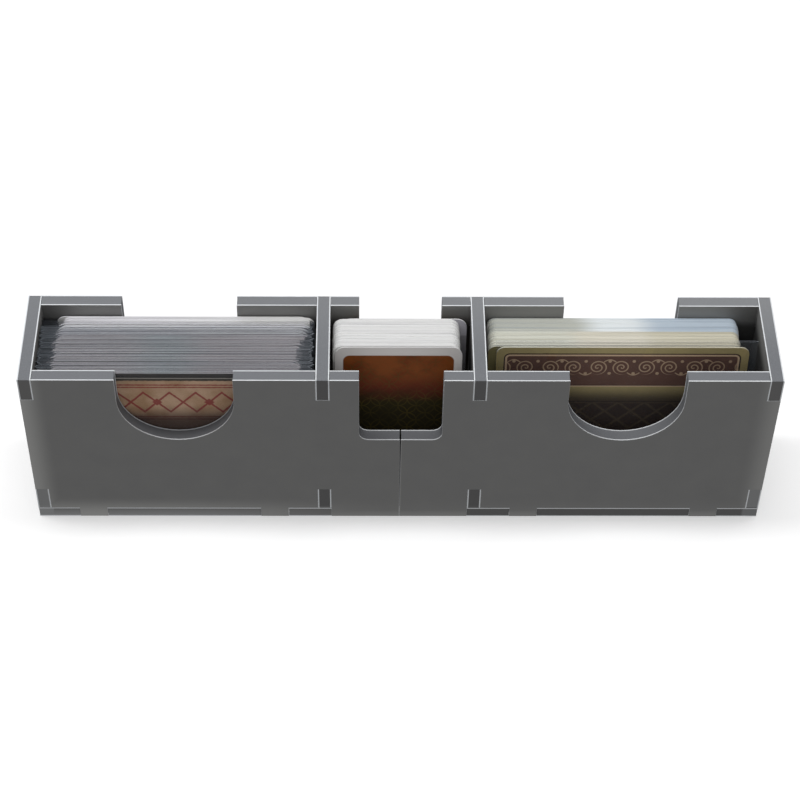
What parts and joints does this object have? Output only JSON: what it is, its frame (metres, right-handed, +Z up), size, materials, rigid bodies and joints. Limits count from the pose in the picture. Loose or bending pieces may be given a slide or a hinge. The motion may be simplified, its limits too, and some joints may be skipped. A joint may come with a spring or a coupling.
{
  "type": "board game insert",
  "caption": "Long open card tray of slotted foam-core sheet with side compartments, a narrow middle one, finger notches and a standing deck in each.",
  "frame": {"origin": "middle of the tray's flat underside, on the surface it stands on", "axes": "+X along the tray to the right compartment, +Y to the back wall, +Z up out of the open top"},
  "size_m": [0.26, 0.04, 0.0732],
  "materials": {
    "foam_core": "matte",
    "sleeved_card": "satin",
    "white_card": "satin",
    "sand_card": "satin",
    "rust_card": "satin",
    "olive_card": "satin",
    "cream_card": "satin",
    "pale_blue_card": "satin"
  },
  "bodies": {
    "tray": {"base_panel": "foam_core", "front_wall_left": "foam_core", "front_wall_right": "foam_core", "back_wall_left": "foam_core", "back_wall_right": "foam_core", "left_end_wall": "foam_core", "right_end_wall": "foam_core", "left_divider": "foam_core", "right_divider": "foam_core"},
    "left_deck": {"left_front_card": "sand_card", "left_sleeved_packet_1": "sleeved_card", "left_sleeved_packet_2": "sleeved_card", "left_sleeved_packet_3": "sleeved_card", "left_sleeved_packet_4": "sleeved_card", "left_sleeved_packet_5": "sleeved_card", "left_sleeved_packet_6": "sleeved_card", "left_sleeved_packet_7": "sleeved_card", "left_sleeved_packet_8": "sleeved_card", "left_rear_packet": "white_card"},
    "middle_deck": {"middle_front_card": "rust_card", "middle_packet_1": "white_card", "middle_packet_2": "white_card", "middle_packet_3": "white_card", "middle_packet_4": "white_card", "middle_packet_5": "white_card", "middle_rear_card": "white_card"},
    "right_deck": {"right_front_card": "olive_card", "right_second_card": "olive_card", "right_cream_packet_1": "cream_card", "right_cream_packet_2": "cream_card", "right_cream_packet_3": "cream_card", "right_pale_packet_1": "pale_blue_card", "right_pale_packet_2": "pale_blue_card", "right_pale_packet_3": "pale_blue_card"}
  },
  "joints": [
    {"name": "left_deck_lift", "type": "slide", "parent": "tray", "child": "left_deck", "axis": [0, 0, 1], "range_m": [0, 0.075]},
    {"name": "middle_deck_lift", "type": "slide", "parent": "tray", "child": "middle_deck", "axis": [0, 0, 1], "range_m": [0, 0.075]},
    {"name": "right_deck_lift", "type": "slide", "parent": "tray", "child": "right_deck", "axis": [0, 0, 1], "range_m": [0, 0.075]}
  ]
}
